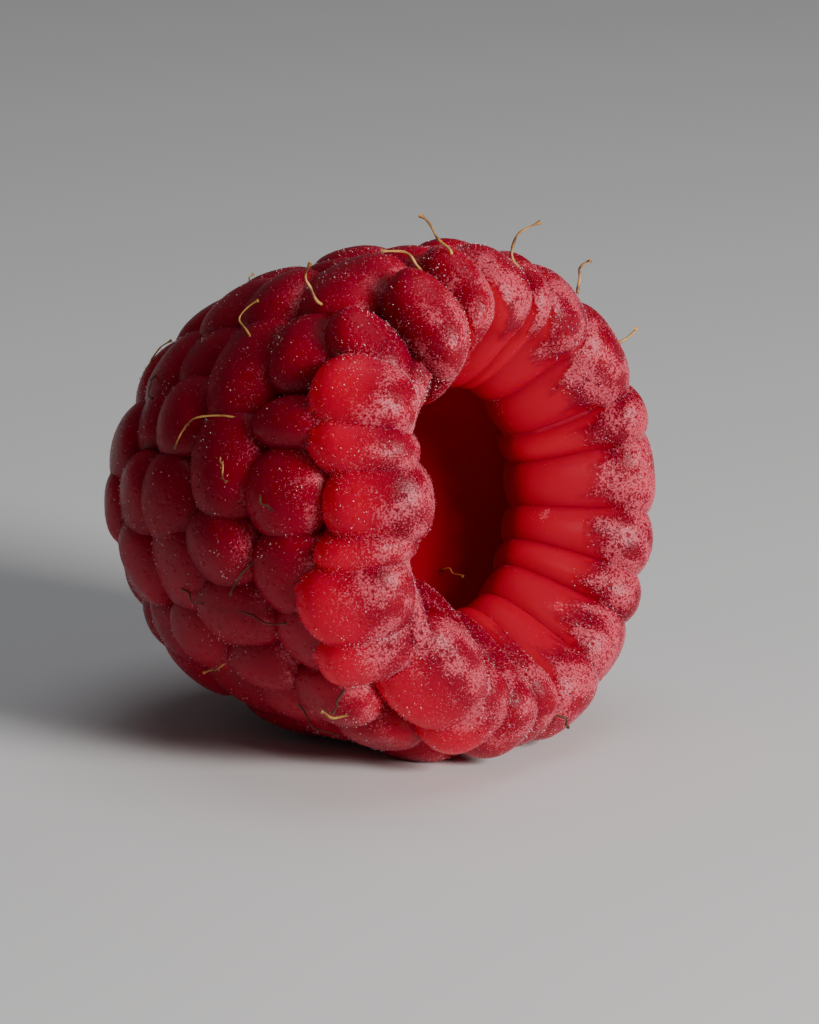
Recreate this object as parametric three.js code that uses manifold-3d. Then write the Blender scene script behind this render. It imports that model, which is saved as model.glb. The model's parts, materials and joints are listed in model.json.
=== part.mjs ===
// A fresh raspberry, picked off its receptacle and lying on its side.
//
// The fruit is a thimble of small juicy drupelets that cohere into one body round an open hollow.
// It is laid out in its own fruit frame first: the axis is X, the mouth of the hollow faces +X, and
// x = 0 is the middle of the rolled rim. Tilting and rolling that frame lays the fruit on z = 0, on the
// flats that its weight presses into the lowest drupelets. The group's origin is on that surface, under
// the middle of the fruit's box, where one of the flats is. Units are millimetres and degrees.

import * as THREE from "three";
import { mergeVertices } from "three/addons/utils/BufferGeometryUtils.js";
import Module from "manifold-3d";

// ---- How the fruit lies ----
const TILT = 7; // the mouth looks up by this angle
const ROLL = 0; // turn about the fruit's own axis
const PRESSED_FLAT = 0.3; // how much of the lowest drupelets is pressed flat
const SLAB = { wide: 80, thick: 20 }; // cuts away what is under the surface

// ---- The rows of drupelets, from the rim of the mouth to the tip ----
// x, r: where a drupelet's outermost point is; lean: the way its own axis points, 0 is straight out,
// 90 towards the tip, negative towards the mouth; wall: from its outermost point to the hollow;
// along: half its size along the fruit.
const RIM = { x: 1.7, r: 10.7, lean: -38, wall: 5.4, along: 2.45 };
const ROWS = [
  { x: -2.45, r: 11.35, lean: 0, wall: 5.3, along: 2.15 },
  { x: -5.75, r: 11.2, lean: 5, wall: 5.4, along: 2.1 },
  { x: -9.0, r: 10.45, lean: 17, wall: 5.5, along: 2.1, count: 18 },
  { x: -12.05, r: 9.2, lean: 30, wall: 5.5, along: 2.1, count: 16 },
  { x: -14.8, r: 7.35, lean: 45, wall: 5.2, along: 2.1, count: 13 },
  { x: -16.85, r: 4.8, lean: 64, wall: 5.0, along: 2.05, count: 9 },
  { x: -17.85, r: 1.75, lean: 80, wall: 4.8, along: 2.05, count: 3 },
];
// The rim and the two rows behind it are uneven. These are the widths of their drupelets in degrees
// round the axis, clockwise from the top as seen from the mouth. Each list adds up to 360.
const UNEVEN = [
  {
    row: RIM,
    start: -3,
    widths: [16, 16, 18, 18, 19, 18, 13, 19, 22, 20, 16, 16, 16, 16, 11, 14, 9, 17, 12, 15, 8, 16, 15],
  },
  {
    row: ROWS[0],
    start: -10,
    widths: [18, 17, 19, 17, 16, 18, 19, 17, 18, 17, 18, 18, 18, 18, 17, 18, 20, 12, 24, 21],
  },
  {
    row: ROWS[1],
    start: -13,
    widths: [13, 16, 18, 18, 17, 17, 18, 18, 18, 18, 17, 18, 18, 19, 15, 16, 17, 23, 24, 22],
  },
];

// ---- The drupelet ----
const RIM_DEEP = 5.6; // a rim drupelet's size on its own axis
const DEEP = 3.6; // the same for the others, whose inner ends the wall hides
const OVERLAP = 1.24; // how far a drupelet's sides reach past its share of the row
const SQUARENESS = 2.4; // 2 is an ellipsoid; more fills the corners between neighbours
const TAPER = 0.42; // share of its width that a drupelet loses on its way inwards
const JITTER = { turn: 0.16, along: 0.3, height: 0.22, size: 0.09 };
const SIDES = 6;
const RIM_SIDES = 7;
const STACKS = 5;

// ---- The wall that the drupelets stand out of ----
const WALL_BELOW_SKIN = 1.45;
const WALL_BEHIND_RIM = 0.8; // how far the wall stays inside the rim drupelets' inner ends
const WALL_SIDES = 24;

// ---- The dried styles ----
const STYLE = { radius: 0.15, sunk: 0.8, sides: 3, steps: 2, bend: 0.12 };
// x, r, turn: the root; heading: how far the free end is from it towards the mouth, outwards and round.
const STYLES = [
  { x: 0.8, r: 11.0, turn: 351, heading: [-1.4, 1.6, 0.2] },
  { x: 1.5, r: 10.7, turn: 7, heading: [0.8, 1.5, 0.9] },
  { x: 1.9, r: 10.5, turn: 34, heading: [-0.4, 1.2, 0.6] },
  { x: 1.9, r: 10.5, turn: 55, heading: [-0.2, 1.0, 0.7] },
  { x: 0.4, r: 11.1, turn: 341, heading: [-1.9, 0.9, 1.2] },
  { x: -2.9, r: 11.2, turn: 329, heading: [-1.2, 0.8, 1.5] },
  { x: -5.8, r: 11.1, turn: 318, heading: [0.7, 1.0, 0.9] },
  { x: -5.3, r: 11.1, turn: 298, heading: [-1.5, 1.2, -1.4] },
  { x: -6.0, r: 11.1, turn: 290, heading: [1.3, 0.9, -1.1] },
  { x: -1.8, r: 11.2, turn: 228, heading: [-0.3, 0.9, 1.6] },
  { x: -7.5, r: 10.2, turn: 241, heading: [-0.7, 0.9, 0.3] },
];
// On the far side and round the tip one drupelet in a few has one, at its outermost point.
const FAR_STYLES = { share: 0.17, from: 20, to: 150, tipwards: -11, lowest: 3 };
const FAR_HEADING = [0.9, 1.7, 0.9];

const wasm = await Module();
wasm.setup();
const rad = THREE.MathUtils.degToRad;

// A repeatable draw between -1 and 1 for drupelet i and quantity k.
function draw(i, k) {
  const s = Math.sin(i * 127.1 + k * 311.7 + 17.3) * 43758.5453;
  return 2 * (s - Math.floor(s)) - 1;
}

// The point at station (x, r) of the fruit's section, `turn` round the axis.
function around(x, r, turn) {
  return new THREE.Vector3(x, r * Math.sin(rad(turn)), r * Math.cos(rad(turn)));
}

const lay = new THREE.Matrix4()
  .makeRotationY(-rad(TILT))
  .multiply(new THREE.Matrix4().makeRotationX(rad(ROLL)));

// A closed geometry of the fruit frame as a solid of the laid fruit.
function solid(geometry) {
  geometry.deleteAttribute("normal");
  geometry.deleteAttribute("uv");
  const merged = mergeVertices(geometry.applyMatrix4(lay), 1e-4);
  return new wasm.Manifold(
    new wasm.Mesh({
      numProp: 3,
      vertProperties: merged.attributes.position.array,
      triVerts: new Uint32Array(merged.index.array),
    }),
  );
}

// Drupelet i's own axes (across the row, along the fruit, out), its ends and its half sizes.
function drupelet(row, turn, width, i) {
  const onRim = row === RIM;
  const lean = rad(row.lean);
  const across = around(0, 1, turn + 90);
  const out = around(-Math.sin(lean), Math.cos(lean), turn);
  const along = new THREE.Vector3().crossVectors(out, across);
  const tip = around(row.x, row.r, turn)
    .addScaledVector(out, JITTER.height * draw(i, 2))
    .addScaledVector(along, onRim ? 0 : JITTER.along * draw(i, 3));
  const size = 1 + JITTER.size * draw(i, 1);
  const half = new THREE.Vector3(
    0.5 * rad(width) * row.r * OVERLAP * (onRim ? 1 : size),
    row.along * size,
    (onRim ? RIM_DEEP : DEEP) / 2,
  );
  const centre = tip.clone().addScaledVector(out, -half.z);
  return { onRim, turn, across, along, out, tip, centre, half };
}

function allDrupelets() {
  const places = [];
  for (const { row, start, widths } of UNEVEN) {
    let turn = start;
    for (const width of widths) {
      places.push(drupelet(row, turn + width / 2, width, places.length));
      turn += width;
    }
  }
  ROWS.slice(2).forEach((row, k) => {
    const width = 360 / row.count;
    for (let j = 0; j < row.count; j++) {
      const turn = (j + 0.5 * (k % 2) + JITTER.turn * draw(places.length, 4)) * width;
      places.push(drupelet(row, turn, width, places.length));
    }
  });
  return places;
}

// One drupelet as a tapered, slightly squared bead.
function bead({ onRim, across, along, out, centre, half }) {
  const ball = new THREE.SphereGeometry(1, onRim ? RIM_SIDES : SIDES, STACKS);
  const points = ball.attributes.position;
  const v = new THREE.Vector3();
  for (let i = 0; i < points.count; i++) {
    v.fromBufferAttribute(points, i);
    const size = [v.x, v.y, v.z].reduce((sum, c) => sum + Math.abs(c) ** SQUARENESS, 0);
    v.multiplyScalar(size ** (-1 / SQUARENESS));
    const taper = 1 - (TAPER * (1 - v.y)) / 2;
    const point = centre
      .clone()
      .addScaledVector(across, v.x * half.x * taper)
      .addScaledVector(along, -v.z * half.y * taper)
      .addScaledVector(out, v.y * half.z);
    points.setXYZ(i, point.x, point.y, point.z);
  }
  return ball;
}

// The wall behind the drupelets, lathed: from the tip along its outside to the rim and back inside.
function wall() {
  const inwards = (row, depth) =>
    new THREE.Vector2(
      row.r - Math.cos(rad(row.lean)) * depth,
      row.x + Math.sin(rad(row.lean)) * depth,
    );
  const outside = [RIM, ...ROWS].map((row) => inwards(row, WALL_BELOW_SKIN)).reverse();
  const inside = ROWS.map((row) => inwards(row, row.wall));
  const mouth = inwards(RIM, RIM.wall - WALL_BEHIND_RIM);
  const outerTip = new THREE.Vector2(0, outside[0].y);
  const innerTip = new THREE.Vector2(0, inside.at(-1).y);
  const profile = [outerTip, ...outside, mouth, ...inside, innerTip];
  return new THREE.LatheGeometry(profile, WALL_SIDES).rotateZ(-Math.PI / 2);
}

// A dried style: a slim bent spike from below `root` to `root + heading`.
function style(root, heading, side) {
  const length = heading.length() + STYLE.sunk;
  const spike = new THREE.ConeGeometry(STYLE.radius, length, STYLE.sides, STYLE.steps);
  spike.translate(0, length / 2 - STYLE.sunk, 0);
  const points = spike.attributes.position;
  for (let i = 0; i < points.count; i++) {
    const up = Math.max(points.getY(i), 0);
    points.setX(i, points.getX(i) + side * STYLE.bend * up * (length - STYLE.sunk - up));
  }
  const stand = new THREE.Quaternion().setFromUnitVectors(
    new THREE.Vector3(0, 1, 0),
    heading.clone().normalize(),
  );
  return spike.applyQuaternion(stand).translate(root.x, root.y, root.z);
}

// A heading's parts towards the mouth, outwards and round, as a vector at `turn` round the axis.
function headingAt(turn, [mouthwards, outwards, round]) {
  return around(mouthwards, outwards, turn).addScaledVector(around(0, 1, turn + 90), round);
}

const places = allDrupelets();
let fruit = solid(wall());
for (const place of places) fruit = fruit.add(solid(bead(place)));
// Pockets that the fusing seals are filled: only the body's outer skin is kept.
fruit = fruit.decompose().find((piece) => piece.volume() > 0);
const floor = fruit.boundingBox().min[2] + PRESSED_FLAT;

for (const { x, r, turn, heading } of STYLES) {
  fruit = fruit.add(solid(style(around(x, r, turn), headingAt(turn, heading), 1)));
}
places.forEach(({ turn, tip, out }, i) => {
  const farSide = turn > FAR_STYLES.from && turn < FAR_STYLES.to;
  const high = tip.z > floor + FAR_STYLES.lowest;
  if (!high || !(farSide || tip.x < FAR_STYLES.tipwards)) return;
  if (draw(i, 7) > 2 * FAR_STYLES.share - 1) return;
  const lean = headingAt(turn, [FAR_HEADING[0] * draw(i, 5), 0, FAR_HEADING[2] * draw(i, 6)]);
  fruit = fruit.add(solid(style(tip, lean.addScaledVector(out, FAR_HEADING[1]), draw(i, 8))));
});

const slab = new THREE.BoxGeometry(SLAB.wide, SLAB.wide, SLAB.thick);
slab.translate(0, 0, floor - SLAB.thick / 2).applyMatrix4(lay.clone().invert());
fruit = fruit.subtract(solid(slab));

const mesh = fruit.getMesh();
const geometry = new THREE.BufferGeometry();
geometry.setAttribute("position", new THREE.BufferAttribute(mesh.vertProperties, 3));
geometry.setIndex(new THREE.BufferAttribute(mesh.triVerts, 1));
geometry.computeVertexNormals();
geometry.computeBoundingBox();
const middle = geometry.boundingBox.getCenter(new THREE.Vector3());
geometry.translate(-middle.x, -middle.y, -floor);

const skin = new THREE.MeshStandardMaterial({ color: 0xb3122a, roughness: 0.45, metalness: 0 });
const raspberry = new THREE.Mesh(geometry, skin);
raspberry.name = "drupelets";

const group = new THREE.Group();
group.add(raspberry);
export default group;
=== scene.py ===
# %% [markdown]
# # A raspberry
# A raspberry is not one berry. It is a hundred small stone fruits, called drupelets, that cohere into a
# thimble round a hollow. This lesson models one drupelet, packs copies of it in rows as they grow, fuses
# them into one skin, and then dresses it with dried styles and a fine pale down.
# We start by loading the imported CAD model. Everything is in metres in its frame.

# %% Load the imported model
import bpy
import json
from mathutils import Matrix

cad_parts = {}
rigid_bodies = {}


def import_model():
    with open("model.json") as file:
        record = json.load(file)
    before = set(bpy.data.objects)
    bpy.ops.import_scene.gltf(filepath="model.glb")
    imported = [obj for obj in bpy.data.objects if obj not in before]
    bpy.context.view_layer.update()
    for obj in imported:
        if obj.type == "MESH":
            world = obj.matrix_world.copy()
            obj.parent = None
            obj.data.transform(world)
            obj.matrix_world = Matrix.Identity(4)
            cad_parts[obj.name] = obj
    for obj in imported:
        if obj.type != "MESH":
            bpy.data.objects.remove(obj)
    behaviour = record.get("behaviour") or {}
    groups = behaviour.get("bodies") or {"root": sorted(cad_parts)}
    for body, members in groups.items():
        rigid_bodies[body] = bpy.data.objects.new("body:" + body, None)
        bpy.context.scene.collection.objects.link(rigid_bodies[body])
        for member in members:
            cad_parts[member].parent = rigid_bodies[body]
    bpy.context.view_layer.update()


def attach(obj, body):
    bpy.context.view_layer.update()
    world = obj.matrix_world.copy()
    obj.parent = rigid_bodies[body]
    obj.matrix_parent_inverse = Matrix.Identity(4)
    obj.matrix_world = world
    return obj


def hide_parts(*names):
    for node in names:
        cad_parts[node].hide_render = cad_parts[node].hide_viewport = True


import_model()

# %% [markdown]
# ## Measures
# The fruit is laid out in its own frame, in millimetres. Its axis is X, the mouth faces +X, and x = 0 is
# the middle of the rolled rim. One function then tips it and sets it down in the frame of the model.

# %% The fruit's own frame
import math

import numpy as np
from mathutils import Vector, kdtree, noise

MM = 0.001
TILT = math.radians(7)
RIM_MIDDLE = np.array([7.006, 0.061, 11.224])  # where the CAD model has it


def laid(points):
    """Points of the fruit's own frame, in millimetres, where they lie in the model, in metres."""
    x, y, z = np.moveaxis(np.asarray(points, dtype=float), -1, 0)
    tipped = np.stack(
        [x * math.cos(TILT) - z * math.sin(TILT), y, x * math.sin(TILT) + z * math.cos(TILT)], -1
    )
    return (tipped + RIM_MIDDLE) * MM


def unlaid(points):
    """Points of the model, in metres, in the fruit's own frame, in millimetres."""
    x, y, z = np.moveaxis(np.asarray(points) / MM - RIM_MIDDLE, -1, 0)
    return np.stack(
        [x * math.cos(TILT) + z * math.sin(TILT), y, z * math.cos(TILT) - x * math.sin(TILT)], -1
    )


def laid_way(direction):
    """A direction of the fruit's own frame as one of the model."""
    return (laid(direction) - laid(np.zeros(3))) / MM


def around(x, r, turn):
    """The point at station (x, r) of the fruit's section, turned clockwise from the top."""
    return np.array([x, r * math.sin(math.radians(turn)), r * math.cos(math.radians(turn))])


DRAWN = dict(size=1, height=2, along=3, turn=4, mouthwards=5, sideways=6, styled=7, tone=9)


def draw(i, what):
    """A repeatable draw between -1 and 1 of what varies, for drupelet i."""
    s = math.sin(i * 127.1 + DRAWN[what] * 311.7 + 17.3) * 43758.5453
    return 2 * (s - math.floor(s)) - 1


print("the middle of the rim is at", laid([0, 0, 0]))

# %% [markdown]
# ## Where the drupelets sit
# They grow in rings that are packed like bricks. The ring at the rim rolls inwards over the edge, and
# the rings behind it shrink towards the tip. The three rings nearest the mouth are uneven, so they have
# a list of widths in degrees, clockwise from the top as seen from the mouth. The others are even rings
# with a small seeded nudge.

# %% The rings of drupelets
# x, r: the station of a drupelet's outermost point; lean: the way it points, 0 straight out and 90 to the
# tip; along: half its length along the fruit; dome: how much of it swells outwards from its widest part;
# deep: its whole depth; snug: its width over its share of the ring; square: 2 is round, more is boxy.
RIM = dict(x=1.6, r=10.45, lean=-38, along=2.65, deep=6.6, dome=2.4, snug=1.7, square=2.3)
ROW = dict(along=2.65, dome=1.6, snug=1.48, square=2.05)
RINGS = [
    dict(ROW, x=-2.85, r=11.15, lean=0, deep=4.7, snug=1.4),
    dict(ROW, x=-6.45, r=10.8, lean=6, deep=4.8),
    dict(ROW, x=-9.8, r=9.95, lean=19, deep=5.1, count=18),
    dict(ROW, x=-12.75, r=8.6, lean=33, deep=5.6, count=16, along=2.5),
    dict(ROW, x=-15.3, r=6.75, lean=48, deep=5.2, count=13, along=2.45),
    dict(ROW, x=-17.1, r=4.3, lean=65, deep=5.0, count=9, along=2.3),
    dict(ROW, x=-17.9, r=1.7, lean=80, deep=4.8, count=3, along=2.2),
]
UNEVEN = [
    (RIM, -1, [16, 9, 22, 25, 13, 21, 17, 14, 20, 19, 11, 14, 13, 23, 13, 16, 8, 16, 11, 13, 13, 14, 19]),
    (RINGS[0], -10, [18, 17, 19, 17, 16, 18, 19, 17, 18, 17, 18, 18, 18, 18, 17, 18, 20, 12, 24, 21]),
    (RINGS[1], -13, [13, 16, 18, 18, 17, 17, 18, 18, 18, 18, 17, 18, 18, 19, 15, 16, 17, 23, 24, 22]),
]
# Some drupelets depart from their ring: they reach further towards the mouth, are longer along the
# fruit, stand higher or go deeper, in millimetres. Wide is a factor, skew leans one round the ring, and
# tilt raises one of its sides over its neighbour, as scales overlap.
PLAIN = dict(reach=0, long=0, high=0, deep=0, wide=1, skew=0, tilt=0)
ODD = {
    0: dict(wide=0.82), 1: dict(high=-0.3, wide=0.85), 2: dict(high=-0.25, wide=0.75),
    3: dict(high=-0.1, wide=0.78), 4: dict(wide=0.85), 5: dict(high=0.2, wide=0.88),
    6: dict(high=0.15, wide=0.88), 7: dict(high=0.1, wide=0.88), 8: dict(wide=0.88), 9: dict(wide=0.85),
    10: dict(wide=0.85, tilt=-0.2), 11: dict(wide=0.9, tilt=-0.25), 12: dict(high=-0.15, tilt=-0.25),
    13: dict(reach=0.3, long=0.05, high=-0.3, wide=0.96, tilt=-0.15),
    14: dict(reach=-1.3, long=-0.05, high=-0.5, wide=0.95, tilt=0.1),
    15: dict(reach=-1.0, long=0.4), 16: dict(reach=-0.3), 17: dict(reach=0.35, long=0.15),
    18: dict(reach=-0.4, long=0.1), 19: dict(reach=-0.9, long=0.1, wide=1.05),
    20: dict(reach=-1.4, long=-0.2, high=-0.6, skew=0.3),
    21: dict(reach=0.1, long=0.2, high=0.2, wide=0.85, deep=-1.3, skew=0.35, tilt=0.1),
    22: dict(high=-0.05, wide=0.48, skew=0.3, tilt=0.15),
    39: dict(reach=-0.2, long=0.2), 40: dict(long=0.3),
    41: dict(reach=-0.3, long=-0.2, high=0.15, wide=0.84),
}
NUDGE = dict(turn=0.16, along=0.3, height=0.27, size=0.1)


def drupelet(ring, turn, width, i):
    """Drupelet i's own axes (across the ring, along the fruit, out), its ends and its half sizes."""
    lean = math.radians(ring["lean"])
    odd = dict(PLAIN, **ODD.get(i, {}))
    across = around(0, 1, turn + 90)
    out = around(-math.sin(lean), math.cos(lean), turn)
    along = np.cross(out, across)
    nudged = 0 if ring is RIM else 1
    size = 1 + NUDGE["size"] * draw(i, "size")
    higher = NUDGE["height"] * draw(i, "height") + odd["high"]
    tip = around(ring["x"], ring["r"], turn) + out * higher
    tip = tip + along * (nudged * NUDGE["along"] * draw(i, "along") - odd["reach"])
    half_width = 0.5 * math.radians(width) * ring["r"] * ring["snug"] * odd["wide"]
    half = np.array([half_width * size**nudged, ring["along"] * size**nudged + odd["long"], ring["dome"]])
    return dict(
        ring=ring,
        turn=turn,
        across=across + out * odd["tilt"],
        along=along + across * odd["skew"],
        out=out,
        tip=tip,
        centre=tip - out * ring["dome"],
        half=half,
        inwards=ring["deep"] - ring["dome"] + higher + odd["deep"],
    )


def all_drupelets():
    places = []
    for ring, start, widths in UNEVEN:
        turn = start
        for width in widths:
            places.append(drupelet(ring, turn + width / 2, width, len(places)))
            turn += width
    for k, ring in enumerate(RINGS[2:]):
        width = 360 / ring["count"]
        for j in range(ring["count"]):
            brick = 0.5 * (k % 2)
            turn = (j + brick + NUDGE["turn"] * draw(len(places), "turn")) * width
            places.append(drupelet(ring, turn, width, len(places)))
    return places


places = all_drupelets()
print(len(places), "drupelets")

# %% [markdown]
# ## One drupelet
# A drupelet is a ball that its neighbours squeeze into a soft cushion. A cube is a good start for the
# ball, because it has no poles: it is subdivided, pulled to a sphere and smoothed.

# %% Model one drupelet
def deselect():
    bpy.ops.object.select_all(action="DESELECT")


def work_on(piece):
    deselect()
    piece.select_set(True)
    bpy.context.view_layer.objects.active = piece


def points_of(mesh):
    points = np.empty(len(mesh.vertices) * 3)
    mesh.vertices.foreach_get("co", points)
    return points.reshape(-1, 3)


def move_points(mesh, points):
    mesh.vertices.foreach_set("co", np.asarray(points).ravel())
    mesh.update()


deselect()
bpy.ops.mesh.primitive_cube_add(size=2)
pattern = bpy.context.object
bpy.ops.object.mode_set(mode="EDIT")
bpy.ops.mesh.subdivide(number_cuts=2)
bpy.ops.transform.tosphere(value=1)
bpy.ops.object.mode_set(mode="OBJECT")
rounding = pattern.modifiers.new("rounding", "SUBSURF")
rounding.levels = rounding.render_levels = 2
bpy.ops.object.modifier_apply(modifier=rounding.name)
pattern.dimensions = (2, 2, 2)
bpy.ops.object.transform_apply(location=False, rotation=False, scale=True)
ball = points_of(pattern.data)
ball /= np.linalg.norm(ball, axis=1, keepdims=True)
print("one drupelet has", len(pattern.data.polygons), "faces")

# %% [markdown]
# ## Every drupelet in its place
# Each copy gets its own mesh. A little squareness fills the corners between neighbours, the inner half
# is drawn in, because the hollow has less room than the outside, and its end is blunt, because it lay
# against the receptacle. A slow noise dents and swells it, so that no two are alike.

# %% Copy the drupelet to every place
TAPER = 0.42  # the share of its width that a drupelet loses on its way inwards
BLUNT = 4
SWELL = 0.18
SWELL_WAVES = 0.9
SWELLS_APART = 7.7


def squared(parts, power):
    """How far a point of the ball moves out to lie on a rounded box."""
    return (np.abs(parts) ** power).sum(axis=-1, keepdims=True) ** (-1 / power)


def shaped(place, i):
    """The ball's points as drupelet i, in the fruit's own frame."""
    ring = place["ring"]
    local = ball * squared(ball, ring["square"])
    inner = np.stack([np.hypot(local[:, 0], local[:, 1]), local[:, 2]], -1)
    local = np.where(ball[:, 2:] < 0, local * squared(inner, BLUNT), local)
    depth = np.where(local[:, 2] < 0, place["inwards"], ring["dome"])
    taper = 1 - TAPER * (1 - local[:, 2]) / 2
    apart = Vector((SWELLS_APART * i, 0, 0))
    swell = [SWELL * noise.noise(Vector(p) * SWELL_WAVES + apart) for p in ball]
    size = np.stack([place["half"][0] * taper, place["half"][1] * taper, depth], -1)
    local = local * size + ball * np.array(swell)[:, None] * np.clip(ball[:, 2:] + 1, 0, 1)
    return place["centre"] + local @ np.array([place["across"], place["along"], place["out"]])


beads = bpy.data.collections.new("beads")
bpy.context.scene.collection.children.link(beads)
bead_points = []
for i, place in enumerate(places):
    bead = pattern.copy()
    bead.data = pattern.data.copy()
    bead_points.append(laid(shaped(place, i)))
    move_points(bead.data, bead_points[-1])
    beads.objects.link(bead)
bpy.data.objects.remove(pattern)

# %% [markdown]
# ## The wall behind them
# Between the drupelets the fruit closes up into a wall. We draw its section as a line of points from the
# tip over the outside to the rim and back along the hollow, and spin it once round the axis.

# %% Spin the wall
WALL_BELOW_SKIN = 1.3
LOW_RELIEF = 0.06
WALL_STEPS = 120
# Round the rim's section, from its outermost point over the mouth to its inner end: how deep the
# creases are there, in millimetres.
RIM_CREASES = {-30: 1.4, 0: 1.4, 30: 1.1, 60: 0.8, 85: 0.7, 110: 0.42, 130: 0.16, 150: 0.06, 165: 0.06}


def inwards(ring, depth):
    lean = math.radians(ring["lean"])
    return np.array([ring["x"] + math.sin(lean) * depth, ring["r"] - math.cos(lean) * depth])


def rim_section(angle, crease):
    """A point of the rim drupelets' section, that far under their surface."""
    way = np.array([[math.sin(math.radians(angle)), math.cos(math.radians(angle))]])
    (across, up), = way * squared(way, RIM["square"])
    deep = RIM["dome"] if up > 0 else RIM["deep"] - RIM["dome"]
    lean = math.radians(RIM["lean"])
    width = (RIM["along"] * (1 - TAPER * (1 - up) / 2) - crease) * across
    sideways = np.array([math.cos(lean), math.sin(lean)])
    return inwards(RIM, RIM["dome"] - up * (deep - crease)) + width * sideways


outside = [inwards(ring, WALL_BELOW_SKIN) for ring in reversed(RINGS)]
rim = [rim_section(angle, crease) for angle, crease in RIM_CREASES.items()]
inside = [inwards(ring, ring["deep"] - LOW_RELIEF) for ring in RINGS]
section = [(outside[0][0], 0), *outside, *rim, *inside, (inside[-1][0], 0)]

deselect()
bpy.ops.mesh.primitive_plane_add(size=1)
wall = bpy.context.object
bpy.ops.object.mode_set(mode="EDIT")
bpy.ops.mesh.delete(type="VERT")
bpy.ops.object.mode_set(mode="OBJECT")
wall.data.from_pydata(
    [laid([x, 0, r]) for x, r in section], [(k, k + 1) for k in range(len(section) - 1)], []
)
bpy.ops.object.mode_set(mode="EDIT")
bpy.ops.mesh.select_all(action="SELECT")
bpy.ops.mesh.subdivide(number_cuts=3, smoothness=0)
bpy.ops.mesh.spin(steps=WALL_STEPS, angle=math.tau, center=laid([0, 0, 0]), axis=laid_way([1, 0, 0]))
bpy.ops.mesh.select_all(action="SELECT")
bpy.ops.mesh.remove_doubles(threshold=0.01 * MM)
bpy.ops.mesh.normals_make_consistent(inside=False)
bpy.ops.object.mode_set(mode="OBJECT")
print("the wall has", len(wall.data.polygons), "faces")

# %% [markdown]
# ## Fuse them
# One Boolean union joins the whole collection to the wall. Its Manifold solver is quick and exact
# enough for closed meshes. Small pockets between drupelets stay behind as closed shells inside, so we
# select the outer skin from one of its points and delete what isn't connected to it.

# %% Fuse the drupelets and the wall
union = wall.modifiers.new("union", "BOOLEAN")
union.operation = "UNION"
union.operand_type = "COLLECTION"
union.collection = beads
union.solver = "MANIFOLD"
work_on(wall)
bpy.ops.object.modifier_apply(modifier=union.name)
for bead in list(beads.objects):
    bpy.data.objects.remove(bead)
bpy.data.collections.remove(beads)

drupelets = wall
drupelets.name = drupelets.data.name = "skin"
highest = int(np.argmax(points_of(drupelets.data)[:, 2]))
bpy.ops.object.mode_set(mode="EDIT")
bpy.ops.mesh.select_all(action="DESELECT")
bpy.ops.object.mode_set(mode="OBJECT")
drupelets.data.vertices[highest].select = True
bpy.ops.object.mode_set(mode="EDIT")
bpy.ops.mesh.select_linked()
bpy.ops.mesh.select_all(action="INVERT")
bpy.ops.mesh.delete(type="VERT")
bpy.ops.object.mode_set(mode="OBJECT")
print("the skin has", len(drupelets.data.polygons), "faces")

# %% [markdown]
# ## Where it lies
# The fruit's weight presses its lowest drupelets flat. Points that would be under the surface are
# lifted on to it, which leaves a few small flats.

# %% Press the lowest drupelets flat
SMOOTH_UNDER = math.radians(32)

skin_points = points_of(drupelets.data)
pressed = skin_points[:, 2] < 0
skin_points[pressed, 2] = 0
move_points(drupelets.data, skin_points)
work_on(drupelets)
bpy.ops.object.shade_smooth_by_angle(angle=SMOOTH_UNDER)
print(int(pressed.sum()), "points are pressed flat")

# %% [markdown]
# ## Which drupelet is where
# The finish varies from the creases to the crown of each drupelet, and from drupelet to drupelet. The
# union keeps no record of that, so each point of the skin looks up the nearest points of the drupelets
# that went into it. They tell which drupelet it is on, and how far it is round that drupelet: outwards,
# towards the tip and sideways. Where a neighbour is near as well, there is a crease.

# %% Find the drupelet under each point
NEIGHBOURS = 12
CREASE = (0.1, 0.22)

tree = kdtree.KDTree(len(places) * len(ball))
for i, points in enumerate(bead_points):
    for j, point in enumerate(points):
        tree.insert(point, i * len(ball) + j)
tree.balance()

near = [tree.find_n(point, NEIGHBOURS) for point in skin_points]
nearest = np.array([finds[0][1] for finds in near])
owner, spot = nearest // len(ball), nearest % len(ball)
others = [
    min((gap for _, k, gap in finds if k // len(ball) != i), default=MM) for i, finds in zip(owner, near)
]
creases = np.interp(np.array(others) / MM, CREASE, [1, 0])
on_rim = owner < len(UNEVEN[0][2])
sideways, tipwards, crowns = abs(ball[spot, 0]), ball[spot, 1], ball[spot, 2]
mouthwards = unlaid(skin_points)[:, 0]
print(f"{on_rim.mean():.0%} of", len(skin_points), "points are on the rim")

# %% [markdown]
# ## Where the skin is bare
# Inside, the skin lay against the receptacle, so no down grew there. The ragged edge of the bare part
# runs a little way up the rim. It runs further between two drupelets than along their middles, most of
# all where they are furrowed. In some places the down reaches further into the hollow instead. Towards
# the tip the hollow narrows, and the bare part with it.

# %% Tell the bare part from the downy one
BARE_WITHIN = 7.1
BARE_TO_TIP = dict(slope=1.1, start=-15.6)
BARE_EDGE = 0.35
BARE_BETWEEN = 0.8
RAGGED = dict(waves=1.3, depth=1.2)
# For drupelets of the rim, in millimetres: how much further in the down starts, and how much further out
# the bare part runs along their sides.
DOWNY_FURTHER = {
    2: 0.4, 3: 0.6, 4: 0.4, 5: 0.3, 6: 0.3, 7: 0.3, 8: 0.3, 10: 1.2, 11: 2.4, 12: 3.2, 13: 3.2, 14: 2.4,
    20: 1.2, 21: 1.2,
}
FURROWED = {22: 2.8, 0: 2.6, 1: 2.4, 2: 2.2, 3: 1.4, 4: 1.4, 5: 1.2, 6: 1.2, 7: 1.2, 8: 1.6, 9: 2.0}


def noises(points, scale):
    """A slow noise at points of the model, with that many waves to the millimetre."""
    return np.array([noise.noise(Vector(p) / MM * scale) for p in points])


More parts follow.
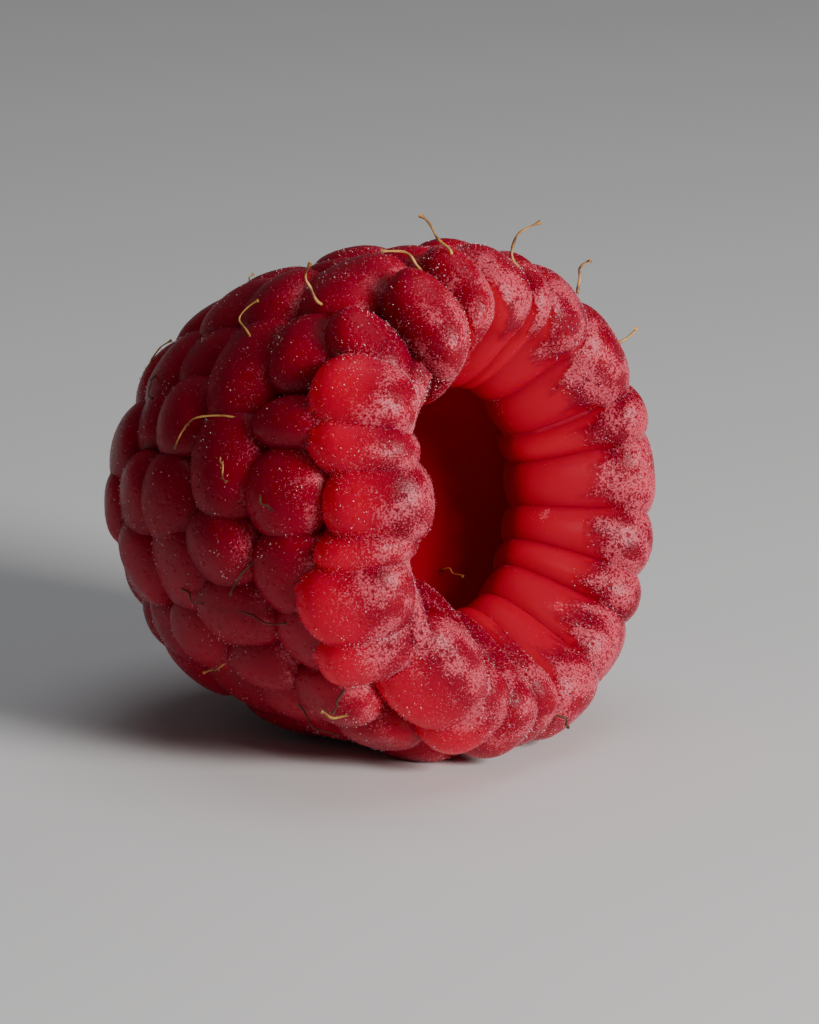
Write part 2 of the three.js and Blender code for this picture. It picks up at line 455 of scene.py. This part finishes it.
def for_each(known, otherwise):
    """For each point of the skin, what is known of its drupelet."""
    return np.array([known.get(i, otherwise) for i in range(len(places))])[owner]


x, y, z = unlaid(skin_points).T
between = for_each(FURROWED, BARE_BETWEEN) * np.clip((sideways - 0.3) / 0.4, 0, 1)
within = BARE_WITHIN - for_each(DOWNY_FURTHER, 0) + between
within = np.minimum(within, BARE_TO_TIP["slope"] * (x - BARE_TO_TIP["start"]))
ragged = RAGGED["depth"] * noises(skin_points, RAGGED["waves"])
bares = np.clip((within - np.hypot(y, z)) / BARE_EDGE + 0.5 + ragged, 0, 1)
print(f"{bares.mean():.0%} of the points are bare")

# %% [markdown]
# ## Where it is frosted, with painted highlight and shade
# The frost is laid thickest on the side of a drupelet that faces the mouth, where the main light falls,
# and it thins towards the side that faces the tip. So it is partly real bloom and partly a painted
# highlight, and its thinning is painted shade. That holds for the rim and less for the rings behind it,
# which get less of it towards the tip, also as painted shade. The furrowed drupelets are frosted all
# over, which paints the sheen of their lit outline, and drupelet 20 gets less of it, a painted shade. The
# frost also lies in patches, it gathers in the seams of the rim, and a few flecks of it are in the hollow.
# All that is one number for each point.

# %% Work out the frost
LEAST_FROSTED_PAINTED_SHADE = 20
SEAM_FROST = 0.25
PATCHES = dict(waves=1.1, mean=0.75, swing=1.3)
FLECKS = dict(waves=0.9, above=0.5, edge=0.1, from_x=-2, frost_with_painted_light=0.8)

# Thickest on the mouth-facing side, where the main light falls: partly real frost, partly painted
# highlight.
rim_frost_and_painted_light = np.interp(tipwards, [-0.5, -0.1, 0.3, 0.8], [1, 0.8, 0.35, 0.1])
# The furrowed drupelets get frost all over, a painted sheen on their lit outline.
rim_frost_and_painted_light = np.where(np.isin(owner, list(FURROWED)), np.maximum(1.3 * rim_frost_and_painted_light, 0.6), rim_frost_and_painted_light)
# Drupelet 20 gets less frost: painted shade.
rim_frost_and_painted_light *= np.where(owner == LEAST_FROSTED_PAINTED_SHADE, 0.6, 1)
# Behind the rim the frost thins towards the tip as painted shade.
row_frost_and_painted_light = np.interp(tipwards, [-0.7, -0.1], [0.95, 0.1]) * np.interp(mouthwards, [-9, -4], [0.1, 1])
frost_and_painted_light = (1 - bares) * np.interp(crowns, [-0.6, 0.3], [0.4, 1]) * np.where(on_rim, rim_frost_and_painted_light, row_frost_and_painted_light)
patches = PATCHES["mean"] + PATCHES["swing"] * noises(skin_points, PATCHES["waves"])
seams = SEAM_FROST * (1 - bares) * creases * on_rim
frost_and_painted_light = np.clip(frost_and_painted_light * patches + seams, 0, 1)
flecks = (noises(skin_points, FLECKS["waves"]) - FLECKS["above"]) / FLECKS["edge"]
flecks = np.clip(flecks, 0, 1) * (mouthwards > FLECKS["from_x"])
frost_and_painted_light = np.maximum(frost_and_painted_light, FLECKS["frost_with_painted_light"] * flecks * bares)
print(f"the frost is {frost_and_painted_light.mean():.2f} on average")

# %% [markdown]
# ## Where glow and shade are painted
# The light that goes through the thin flesh of the rim is painted in as a brighter red at the outer ends
# of its drupelets, most of all on the left as seen from the mouth: a painted glow. The rings behind the
# rim are painted darker towards the tip, a painted shade. With that the skin has its five facts, and a
# material reads them by name.

# %% Work out the painted glow and shade and store the facts
PAINTED_GLOW_DRUPELETS = range(12, 20)
FAINT_PAINTED_GLOW = 0.25

# Painted glow: a brighter red at the outer ends of the rim drupelets, for light through the flesh.
rim_painted_glow = np.interp(tipwards, [-0.3, 0.9], [0, 1]) * np.where(np.isin(owner, PAINTED_GLOW_DRUPELETS), 1, FAINT_PAINTED_GLOW)
# Painted shade: the rings behind the rim are darker towards the tip.
row_painted_shade = np.interp(mouthwards, [-12, -6, -2.5], [0.11, 0.14, 0.18])
facts = dict(
    crown=crowns,
    tone=np.array([draw(i, "tone") for i in range(len(places))])[owner],
    bare=bares,
    frost_with_painted_light=frost_and_painted_light,
    painted_glow=np.where(on_rim, rim_painted_glow, row_painted_shade),
)
for name, values in facts.items():
    drupelets.data.attributes.new(name, "FLOAT", "POINT").data.foreach_set("value", values)
print("the skin knows its", ", ".join(facts))

# %% [markdown]
# ## Dried styles
# Each drupelet grew from a pistil, and many still carry its dried style: a tan thread with a bend in it
# and a knob at the end. Some lie in the shade of the creases and are painted nearly black, a painted
# shade, and one has dropped into the hollow. Those that show best are listed one by one. On the far side
# a drupelet in a few has one, by a seeded draw.

# %% Where the styles stand
# Each has its root, its knee and its free end, as stations (x, r, turn) of the fruit.
GOLDEN = [
    [(0.8, 10.9, 351), (0.4, 11.75, 351), (-0.6, 12.7, 352)],
    [(0.3, 10.9, 342), (0.1, 11.7, 342), (-0.9, 12.3, 340)],
    [(1.0, 10.2, 15), (1.0, 11.2, 14.5), (1.9, 11.9, 17)],
    [(2.0, 10.0, 35), (2.0, 10.8, 34), (2.4, 11.1, 34)],
    [(1.9, 10.1, 59), (2.2, 10.6, 59), (2.5, 10.9, 58)],
    [(-3.0, 11.0, 329), (-3.6, 11.9, 329.5), (-3.4, 12.8, 332)],
    [(-5.9, 10.8, 319), (-7.0, 11.1, 324), (-6.4, 11.4, 328)],
    [(-5.4, 10.7, 299), (-7.3, 11.2, 299), (-8.8, 10.4, 293)],
    [(-5.9, 10.9, 291), (-5.5, 11.4, 288), (-5.1, 11.5, 285)],
    [(-1.9, 11.0, 227), (-2.6, 11.4, 228), (-3.3, 11.5, 230)],
    [(-8.0, 10.0, 238), (-8.6, 10.5, 237), (-9.3, 10.5, 236)],
    [(-14.3, 7.4, 330), (-14.0, 7.9, 333), (-13.3, 8.2, 336)],
    [(-5.8, 6.05, 134), (-5.1, 5.85, 135.5), (-4.4, 5.85, 139)],
]
# These lie in the creases; their near-black colour is painted shade.
STYLES_IN_SHADE = [
    [(-3.8, 11.0, 283), (-3.4, 11.3, 281), (-2.9, 11.3, 279)],
    [(-4.3, 10.6, 268), (-5.2, 10.9, 264), (-5.8, 10.9, 260)],
    [(-6.1, 10.7, 257), (-4.9, 10.9, 254), (-3.4, 10.9, 253)],
    [(-8.8, 10.3, 259), (-8.3, 10.5, 257), (-7.8, 10.6, 256)],
    [(-2.0, 11.0, 234), (-2.3, 11.3, 232), (-2.6, 11.4, 230)],
    [(-12.5, 8.6, 318), (-12.3, 8.9, 313), (-11.9, 8.9, 309)],
    [(2.3, 9.6, 176), (2.5, 10.0, 175), (2.3, 10.3, 174)],
    [(-5.2, 10.8, 225), (-4.5, 11.3, 221), (-3.7, 11.3, 219)],
]
FAR = dict(share=0.17, start=20, end=150, tipwards=-11, lowest=3)
LONG = dict(sunk=0.2, up=1.5, mouthwards=0.9, sideways=0.9)
KNEE = dict(up=0.6, lean=0.15)


def stations(lines):
    return [[around(*station) for station in line] for line in lines]


def far_styles():
    """On the far side and round the tip one drupelet in a few has one, at its outermost point."""
    lines = []
    for i, place in enumerate(places):
        far = FAR["start"] < place["turn"] < FAR["end"] or place["tip"][0] < FAR["tipwards"]
        high = laid(place["tip"])[2] > FAR["lowest"] * MM
        if far and high and draw(i, "styled") < 2 * FAR["share"] - 1:
            root, up = place["tip"] - place["out"] * LONG["sunk"], place["out"] * LONG["up"]
            lean = around(LONG["mouthwards"] * draw(i, "mouthwards"), 0, 0)
            lean = lean + place["across"] * LONG["sideways"] * draw(i, "sideways")
            lines.append([root, root + up * KNEE["up"] + lean * KNEE["lean"], root + up + lean])
    return lines


golden_lines = stations(GOLDEN) + far_styles()
style_lines_in_shade = stations(STYLES_IN_SHADE)
print(len(golden_lines), "golden styles and", len(style_lines_in_shade), "dark ones")

# %% [markdown]
# ## Grow the styles
# A curve with a bevel makes a thread, and each of its points has its own radius. That gives it a
# taper, a few lumps and the knob. Behind the rim the threads are finer.

# %% Grow the styles
STEPS = np.linspace(-0.1, 1, 14)
THREAD = dict(rim=1.1, behind=0.75, rim_ends=-4.5, taper=0.4, lumps=0.12, waver=0.05)
KNOB = dict(size=1.6, start=0.93)


def grow(name, lines, thick):
    """Threads through the three points of each line, with a knob at the free end."""
    threads = bpy.data.curves.new(name, "CURVE")
    threads.dimensions = "3D"
    threads.bevel_depth = thick * MM
    threads.bevel_resolution = 1
    threads.use_fill_caps = True
    for n, (root, knee, end) in enumerate(lines):
        fine = THREAD["behind"] if root[0] < THREAD["rim_ends"] else THREAD["rim"]
        thread = threads.splines.new("POLY")
        thread.points.add(len(STEPS) - 1)
        for point, t in zip(thread.points, STEPS):
            curved = root * (1 - t) * (1 - 2 * t) + knee * 4 * t * (1 - t) + end * t * (2 * t - 1)
            wave = THREAD["waver"] * math.sin(9 * t + 2 * n)
            point.co = (*laid(curved + wave), 1)
            taper = 1 - THREAD["taper"] * max(t, 0) + THREAD["lumps"] * math.sin(17 * t + n)
            point.radius = fine * (KNOB["size"] if t > KNOB["start"] else taper)
    grown = bpy.data.objects.new(name, threads)
    bpy.context.scene.collection.objects.link(grown)
    work_on(grown)
    bpy.ops.object.convert(target="MESH")
    bpy.ops.object.shade_smooth()
    print(name, "has", len(lines), "threads")
    return bpy.context.object


golden = grow("golden_styles", golden_lines, 0.065)
dark = grow("styles_painted_dark", style_lines_in_shade, 0.05)

# %% [markdown]
# ## Spread small things over the skin
# The outside wears a down of hairs a tenth or two of a millimetre long. It is what makes a ripe
# raspberry look frosted rather than wet. There are tens of thousands of them, so numpy spreads them over
# the skin's triangles by area, with seeded draws.

# %% Points spread over the skin
rng = np.random.default_rng(5)


def scatter(count, share):
    """Points spread over the skin by area times a share for each point, with their normals."""
    mesh = drupelets.data
    mesh.calc_loop_triangles()
    corners = np.empty(len(mesh.loop_triangles) * 3, dtype=int)
    mesh.loop_triangles.foreach_get("vertices", corners)
    corners = corners.reshape(-1, 3)
    a, b, c = (skin_points[corners[:, k]] for k in range(3))
    normal = np.cross(b - a, c - a)
    area = np.linalg.norm(normal, axis=1)
    weight = area * share[corners].mean(axis=1)
    chosen = rng.choice(len(corners), count, p=weight / weight.sum())
    u, v = rng.random((2, count, 1))
    over = (u + v) > 1
    u, v = np.where(over, 1 - u, u), np.where(over, 1 - v, v)
    spots = a[chosen] + u * (b - a)[chosen] + v * (c - a)[chosen]
    return spots, normal[chosen] / area[chosen, None]


def across_of(way):
    """Two unit directions across each unit direction of a list."""
    helper = np.where(np.abs(way[:, :1]) < 0.7, [[1.0, 0, 0]], [[0, 1.0, 0]])
    first = np.cross(way, helper)
    first /= np.linalg.norm(first, axis=1, keepdims=True)
    return first, np.cross(way, first)


print("the draws start from seed 5")

# %% [markdown]
# ## Copies of a small shape
# A hair or a speck is modelled once. Its copies go into one mesh, whose points numpy lays out and whose
# faces repeat those of the first, because thousands of objects would be slow.

# %% One mesh of many copies
def shape_of(piece):
    """A small object's points and faces, for copies; the object is removed."""
    shape = points_of(piece.data), [list(face.vertices) for face in piece.data.polygons]
    bpy.data.objects.remove(piece)
    return shape


def copies(name, shape, places_of):
    """One mesh of a small shape's faces, with its points laid out for each copy."""
    points, faces = shape
    total = len(places_of)
    loops, sizes = np.concatenate(faces), np.array([len(face) for face in faces])
    mesh = bpy.data.meshes.new(name)
    mesh.vertices.add(total * len(points))
    mesh.vertices.foreach_set("co", places_of.ravel())
    mesh.loops.add(total * len(loops))
    index = loops + np.arange(total)[:, None] * len(points)
    mesh.loops.foreach_set("vertex_index", index.ravel())
    mesh.polygons.add(total * len(sizes))
    starts = np.concatenate([[0], np.cumsum(np.tile(sizes, total))[:-1]])
    mesh.polygons.foreach_set("loop_start", starts)
    mesh.update(calc_edges=True)
    piece = bpy.data.objects.new(name, mesh)
    bpy.context.scene.collection.objects.link(piece)
    print(name, "has", total, "copies")
    return piece


deselect()
bpy.ops.mesh.primitive_cone_add(vertices=3, radius1=1, radius2=0, depth=1)
hair = shape_of(bpy.context.object)
print("one hair has", len(hair[1]), "faces")

# %% [markdown]
# ## Down
# One hair is a three-sided cone. The down has five kinds of hair: a felt of short thick ones, flat ones
# that lie on the skin and catch the light, a finer nap, those that gather in the seams, and a few long
# ones that show against the light. They follow the frost, so their pale colour is densest where the main
# light falls, a painted highlight, and thin where shade falls, a painted shade. A few stand everywhere
# but in the hollow.

# %% Lay out the down
EVERYWHERE = 0.04
FLAT_ON_RIM = 0.3
SEAMS_ALL_OVER = 0.001
HAIR_MIDDLE = 0.4  # a hair's middle is that share of its length above the skin, so its foot is sunk
CLEAR_OF_FLOOR = 0.03

# The down follows the frost, so its density carries the same painted highlight and shade.
downy = frost_and_painted_light + EVERYWHERE * (1 - bares)
flat = (frost_and_painted_light + FLAT_ON_RIM * np.interp(mouthwards, [-3, 0], [0.1, 1])) * (1 - bares)


def down(name, count, share, length, thick, tilt):
    """A mesh of count hairs, spread by share and tilted at random from the skin's normal. Length and
    thickness are in millimetres and tilt is in radians."""
    spots, normal = scatter(count, share)
    first, second = across_of(normal)
    angle = rng.random((count, 1)) * math.tau
    lean = rng.uniform(*tilt, (count, 1))
    way = normal * np.cos(lean) + (first * np.cos(angle) + second * np.sin(angle)) * np.sin(lean)
    first, second = across_of(way)
    long = rng.uniform(*length, (count, 1)) * MM
    clear = (spots + way * long)[:, 2] > CLEAR_OF_FLOOR * MM
    spots, way, first, second, long = (v[clear] for v in (spots, way, first, second, long))
    x, y, z = hair[0].T
    return copies(
        name,
        hair,
        spots[:, None]
        + first[:, None] * (x * thick * MM)[:, None]
        + second[:, None] * (y * thick * MM)[:, None]
        + (way * long)[:, None] * (z + HAIR_MIDDLE)[:, None],
    )


downs = [
    down("down_felt", 11000, downy, (0.02, 0.05), 0.014, (0, 1.3)),
    down("down_flat", 5000, flat, (0.07, 0.17), 0.014, (1.2, 1.5)),
    down("down_nap", 7000, downy, (0.05, 0.1), 0.007, (0.1, 1.1)),
    down("down_seam", 5000, seams + SEAMS_ALL_OVER, (0.05, 0.11), 0.009, (0, 0.9)),
    down("down_long", 2500, downy, (0.12, 0.22), 0.006, (0, 0.9)),
]

# %% [markdown]
# ## Specks
# Tiny drops of juice and dust sit on the down and sparkle. One is an icosphere of twenty faces. They
# come in clumps, which the square of a slow noise gives.

# %% Sprinkle the specks
SPECKS = 3200
SPECK_RADIUS = (0.010, 0.028)
SPECK_UP = 1.5  # how far its middle is above the skin, in its own radii
CLUMPS = dict(waves=0.6, more=0.25)
INSIDE_TOO = 1.02  # a little over 1, so that a few are in the hollow

deselect()
bpy.ops.mesh.primitive_ico_sphere_add(subdivisions=1, radius=1)
grain = shape_of(bpy.context.object)
clumps = np.maximum(0, CLUMPS["more"] + noises(skin_points, CLUMPS["waves"])) ** 2
spots, normal = scatter(SPECKS, (INSIDE_TOO - bares) * clumps)
radii = rng.uniform(*SPECK_RADIUS, (len(spots), 1)) * MM
above = spots[:, 2] > 2 * SPECK_RADIUS[1] * MM
seats = (spots + normal * radii * SPECK_UP)[above]
specks = copies("specks", grain, seats[:, None] + grain[0] * radii[above][:, None])

# %% [markdown]
# ## Shader sums
# A small class wraps a socket, so that a finish can be written as sums. Numbers alone stay in Python.

# %% A socket that can be written in sums
class Wire:
    def __init__(self, nodes, socket=None):
        self.nodes, self.socket = nodes, socket

    def node(self, kind, settings=None, sockets=None, output=0):
        """Adds a node, sets its settings and then its sockets, and returns one of its outputs."""
        made = self.nodes.nodes.new(kind)
        for key, value in (settings or {}).items():
            setattr(made, key, value)
        for key, value in (sockets or {}).items():
            if isinstance(value, Wire):
                self.nodes.links.new(value.socket, made.inputs[key])
            else:
                made.inputs[key].default_value = value
        return Wire(self.nodes, made.outputs[output] if made.outputs else None)

    def sum(self, operation, first, second):
        return self.node("ShaderNodeMath", {"operation": operation}, {0: first, 1: second})

    def __add__(self, other):
        return self.sum("ADD", self, other)

    def __radd__(self, other):
        return self.sum("ADD", other, self)

    def __sub__(self, other):
        return self.sum("SUBTRACT", self, other)

    def __rsub__(self, other):
        return self.sum("SUBTRACT", other, self)

    def __mul__(self, other):
        return self.sum("MULTIPLY", self, other)

    def __rmul__(self, other):
        return self.sum("MULTIPLY", other, self)


def finish_named(name):
    """A new material, and a wire to write it with."""
    material = bpy.data.materials.new(name)
    material.use_nodes = True
    material.node_tree.nodes.clear()
    return material, Wire(material.node_tree)


def surface(wire, shader):
    wire.node("ShaderNodeOutputMaterial", {}, {"Surface": shader})


def blend(wire, share, first, second):
    """A colour that goes from the first to the second as share goes from 0 to 1."""
    return wire.node("ShaderNodeMix", {"data_type": "RGBA"}, {0: share, 6: first, 7: second}, output=2)


def noise_at(wire, here, scale, detail=2):
    return wire.node("ShaderNodeTexNoise", {}, {"Vector": here, "Scale": scale, "Detail": detail})


def skin_fact(wire, name):
    return wire.node("ShaderNodeAttribute", {"attribute_name": name}, output=2)


def ramp(wire, value, low, high):
    """0 under low, 1 over high and straight between them."""
    return wire.node("ShaderNodeMapRange", {}, {"Value": value, "From Min": low, "From Max": high})


print("the tools for finishes are ready")

# %% [markdown]
# ## Flesh
# Ripe flesh is a deep crimson that light enters and spreads through, mostly as red. Subsurface
# scattering gives that glow, and the radius is largest for red. The stored glow also paints light and
# shade into the base colour: a painted glow at the rim and a painted shade towards the tip. The crown
# term paints a little shade into the creases. Each drupelet's tone and a mottle vary the red at random,
# and the hollow has a red of its own.
# Over it lies the bloom, a pale pink second shader for down too fine to model. Its cover is the frost,
# with its painted highlight and shade, broken up by a fine noise and by small pits, and both give the
# skin its grain by a bump.

# %% The flesh
# The bright end is the flesh's red with painted glow, and the dark end is its red with painted shade.
DARK_FLESH_AND_PAINTED_SHADE = (0.19, 0.0001, 0.012, 1)
BRIGHT_FLESH_AND_PAINTED_GLOW = (0.84, 0.0002, 0.04, 1)
BARE_FLESH = (0.38, 0.0002, 0.016, 1)
FROST = (0.95, 0.14, 0.2, 1)
# How many waves or cells each pattern has to the metre.
MOTTLE, PITS, FELT = 700, 2600, 11000
GRAIN_DEPTH = 0.05 * MM
SCATTER_DEPTH = 2.6 * MM
BLOOM_COVER = 0.45

flesh, wire = finish_named("flesh")
here = wire.node("ShaderNodeTexCoord", output=3)
mottle = noise_at(wire, here, MOTTLE, 3)
felt = noise_at(wire, here, FELT, 4)
cells = wire.node("ShaderNodeTexVoronoi", {}, {"Vector": here, "Scale": PITS})
pits = ramp(wire, cells + 0.3 * (felt - 0.5), 0.12, 0.32)
crown, tone, bare, frost_with_painted_light, painted_glow = (skin_fact(wire, name) for name in facts)
# The glow and the crown term are painted light and shade; tone and mottle vary the red at random.
shade = painted_glow + 0.04 * tone + 0.3 * (mottle - 0.5) + 0.06 * crown
red = blend(wire, shade, DARK_FLESH_AND_PAINTED_SHADE, BRIGHT_FLESH_AND_PAINTED_GLOW)
red = blend(wire, bare, red, BARE_FLESH)
height = (0.6 * felt + 0.8 * pits) * (1 - bare) + 1.2 * mottle
bump = wire.node("ShaderNodeBump", {}, {"Strength": 1.0, "Distance": GRAIN_DEPTH, "Height": height})
juicy = wire.node(
    "ShaderNodeBsdfPrincipled",
    {"subsurface_method": "RANDOM_WALK"},
    {
        "Base Color": red,
        "Roughness": 0.25 + 0.1 * (mottle - 0.5) + 0.15 * bare,
        "IOR": 1.4,
        "Subsurface Weight": 1.0,
        "Subsurface Radius": (1.0, 0.10, 0.08),
        "Subsurface Scale": SCATTER_DEPTH,
        "Specular IOR Level": 0.2,
        "Normal": bump,
    },
)
bloom = wire.node(
    "ShaderNodeBsdfPrincipled",
    {},
    {
        "Base Color": FROST,
        "Roughness": 0.4,
        "Specular IOR Level": 0.35,
        "Sheen Weight": 0.3,
        "Sheen Roughness": 0.3,
        "Sheen Tint": (1.0, 0.75, 0.8, 1),
        "Normal": bump,
    },
)
cover = ramp(wire, frost_with_painted_light + 2.8 * (felt - 0.5), 0.65, 1.1) * pits * BLOOM_COVER
surface(wire, wire.node("ShaderNodeMixShader", {}, {0: cover, 1: juicy, 2: bloom}))
drupelets.data.materials.clear()
drupelets.data.materials.append(flesh)
print("finish:", flesh.name)

# %% [markdown]
# ## Down and styles
# Down hairs are clear; their pink colour is painted light, the red they would catch off the flesh. The
# specks are wet. The dried styles go from a pale tan to a deep one in patches, and those lying in shade
# are painted brown to black, a painted shade.

# %% The down, the styles and the specks
def plain_finish(name, colour, roughness):
    material, wire = finish_named(name)
    surface(wire, wire.node("ShaderNodeBsdfPrincipled", {}, {"Base Color": colour, "Roughness": roughness}))
    return material


# The pink of the clear down is painted light, the red it would catch off the flesh.
pale = plain_finish("pale_down", (0.85, 0.24, 0.31, 1), 0.3)
for piece in downs:
    piece.data.materials.append(pale)
wet = plain_finish("wet_speck", (0.9, 0.72, 0.72, 1), 0.08)
specks.data.materials.append(wet)

for piece, name, pale_tan, deep_tan in (
    (golden, "golden_style", (0.62, 0.32, 0.08, 1), (0.14, 0.045, 0.010, 1)),
    # The near-black of the styles in the creases is painted shade.
    (dark, "painted_shade_style", (0.08, 0.032, 0.012, 1), (0.015, 0.006, 0.003, 1)),
):
    dried, wire = finish_named(name)
    here = wire.node("ShaderNodeTexCoord", output=3)
    tan = blend(wire, ramp(wire, noise_at(wire, here, 1500), 0.35, 0.6), deep_tan, pale_tan)
    surface(wire, wire.node("ShaderNodeBsdfPrincipled", {}, {"Base Color": tan, "Roughness": 0.45}))
    piece.data.materials.clear()
    piece.data.materials.append(dried)
print("finishes:", pale.name, wet.name, "and two for the styles")

# %% [markdown]
# ## Put the pieces on the model
# Each piece rides on the one body of the CAD model. The skin replaces the CAD solid.

# %% Ride on the model
for piece in (drupelets, golden, dark, specks, *downs):
    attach(piece, "root")
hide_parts("drupelets")
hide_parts("drupelets")
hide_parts("drupelets")
print(4 + len(downs), "pieces ride on the model")

# %% [markdown]
# ## Studio
# The fruit lies on a plain pale floor, whose edge rises far behind.

# %% The floor
FLOOR = dict(radius=0.9, slope=0.3, rise=0.12)

deselect()
bpy.ops.mesh.primitive_circle_add(vertices=96, radius=FLOOR["radius"], fill_type="NGON")
floor = bpy.context.object
floor.name = "floor"
bpy.ops.object.mode_set(mode="EDIT")
bpy.ops.mesh.select_all(action="SELECT")
bpy.ops.mesh.inset(thickness=FLOOR["slope"])
bpy.ops.object.mode_set(mode="OBJECT")
for vertex in floor.data.vertices:
    if vertex.co.length > FLOOR["radius"] - FLOOR["slope"] / 2:
        vertex.co.z = FLOOR["rise"]
paper, wire = finish_named("pale_floor")
surface(
    wire,
    wire.node("ShaderNodeBsdfPrincipled", {}, {"Base Color": (0.78, 0.78, 0.78, 1), "Roughness": 0.7}),
)
floor.data.materials.append(paper)
print("the floor is", 2 * FLOOR["radius"], "metres wide")

# %% [markdown]
# ## Camera
# It looks at the middle of the rim, half from the side and half into the mouth, from a little above. A
# long lens and a quarter of a metre suit a thing this small, and a shift frames it.

# %% The camera
VIEW_TURN = math.radians(55.79)
VIEW_LIFT = math.radians(14.4)
DISTANCE = 0.246

across = math.cos(VIEW_LIFT)
back = Vector((math.cos(VIEW_TURN) * across, -math.sin(VIEW_TURN) * across, math.sin(VIEW_LIFT)))
camera_data = bpy.data.cameras.new("camera")
camera = bpy.data.objects.new("camera", camera_data)
bpy.context.scene.collection.objects.link(camera)
camera.location = Vector(laid([0, 0, 0])) + back * DISTANCE
camera.rotation_euler = (-back).to_track_quat("-Z", "Y").to_euler()
camera_data.lens = 202.4
camera_data.shift_x = -0.0734
camera_data.shift_y = -0.0124
camera_data.clip_start = 0.01
bpy.context.scene.camera = camera
print("the camera is at", camera.location)

# %% [markdown]
# ## Light
# The main light is soft and comes from the mouth's side, so that it shines on the rim and into the
# hollow and leaves the flank in shade. A weak one from above and a faint sky fill that shade.

# %% The lights
LIT_POINT = Vector((0, 0, 0.012))


def soft_light(name, place, size, energy, colour):
    deselect()
    bpy.ops.object.light_add(type="AREA", location=place)
    light = bpy.context.object
    light.name = name
    light.data.size = size
    light.data.energy = energy
    light.data.color = colour
    light.rotation_euler = (LIT_POINT - light.location).to_track_quat("-Z", "Y").to_euler()
    print(name, "light:", energy, "watts")


soft_light("key", (0.265, -0.03, 0.11), 0.08, 1.15, (1.0, 0.97, 0.94))
soft_light("top", (0.02, 0.05, 0.35), 0.25, 0.28, (0.95, 0.97, 1.0))
world = bpy.data.worlds.new("studio")
world.use_nodes = True
world.node_tree.nodes["Background"].inputs["Color"].default_value = (0.8, 0.82, 0.85, 1)
world.node_tree.nodes["Background"].inputs["Strength"].default_value = 0.08
bpy.context.scene.world = world

# %% [markdown]
# ## End
# The last cell only imports json.

# %% The end
import json
